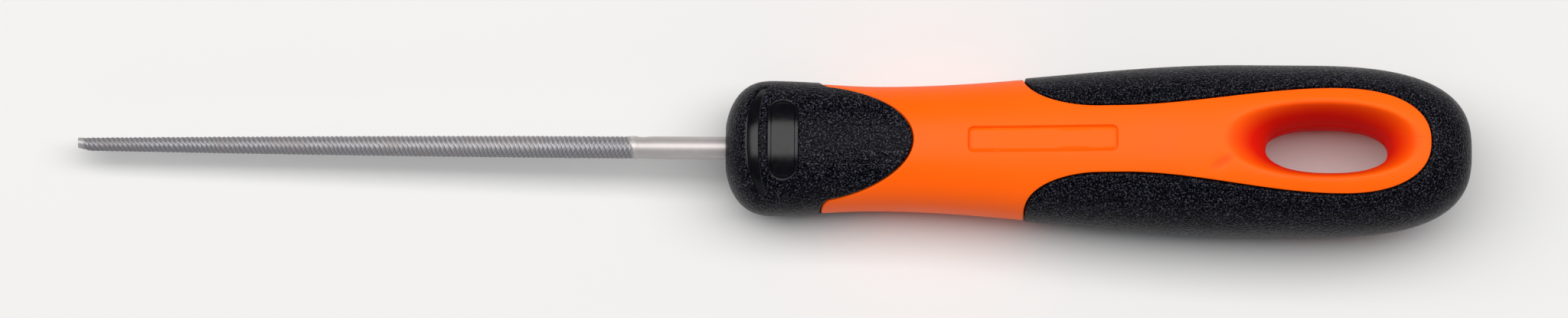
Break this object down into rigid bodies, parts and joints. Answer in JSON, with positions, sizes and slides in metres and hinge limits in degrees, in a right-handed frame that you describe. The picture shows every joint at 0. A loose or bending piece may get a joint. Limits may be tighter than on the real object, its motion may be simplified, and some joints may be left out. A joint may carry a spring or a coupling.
{
  "type": "round file",
  "caption": "Small round file: slender tapered steel blade in a two-colour moulded handle with soft collar, soft side pads and a flared hang hole.",
  "frame": {"origin": "centre of the blade's flat tip end, on the tool axis", "axes": "+X along the tool axis from the tip to the butt, +Y across the width of the handle, +Z through its thickness along the hang hole, out of the face with the bare label panel"},
  "size_m": [0.2056, 0.0254, 0.0214],
  "materials": {
    "blade_steel": "hardened steel, ground heel, file-cut body",
    "core_plastic": "satin orange polypropylene",
    "collar_soft": "fine-grained soft black plastic",
    "grip_soft": "fine-grained soft black plastic"
  },
  "bodies": {
    "root": {"file_blade": "blade_steel", "handle_core": "core_plastic", "front_collar": "collar_soft", "rear_grip": "grip_soft"}
  },
  "joints": []
}
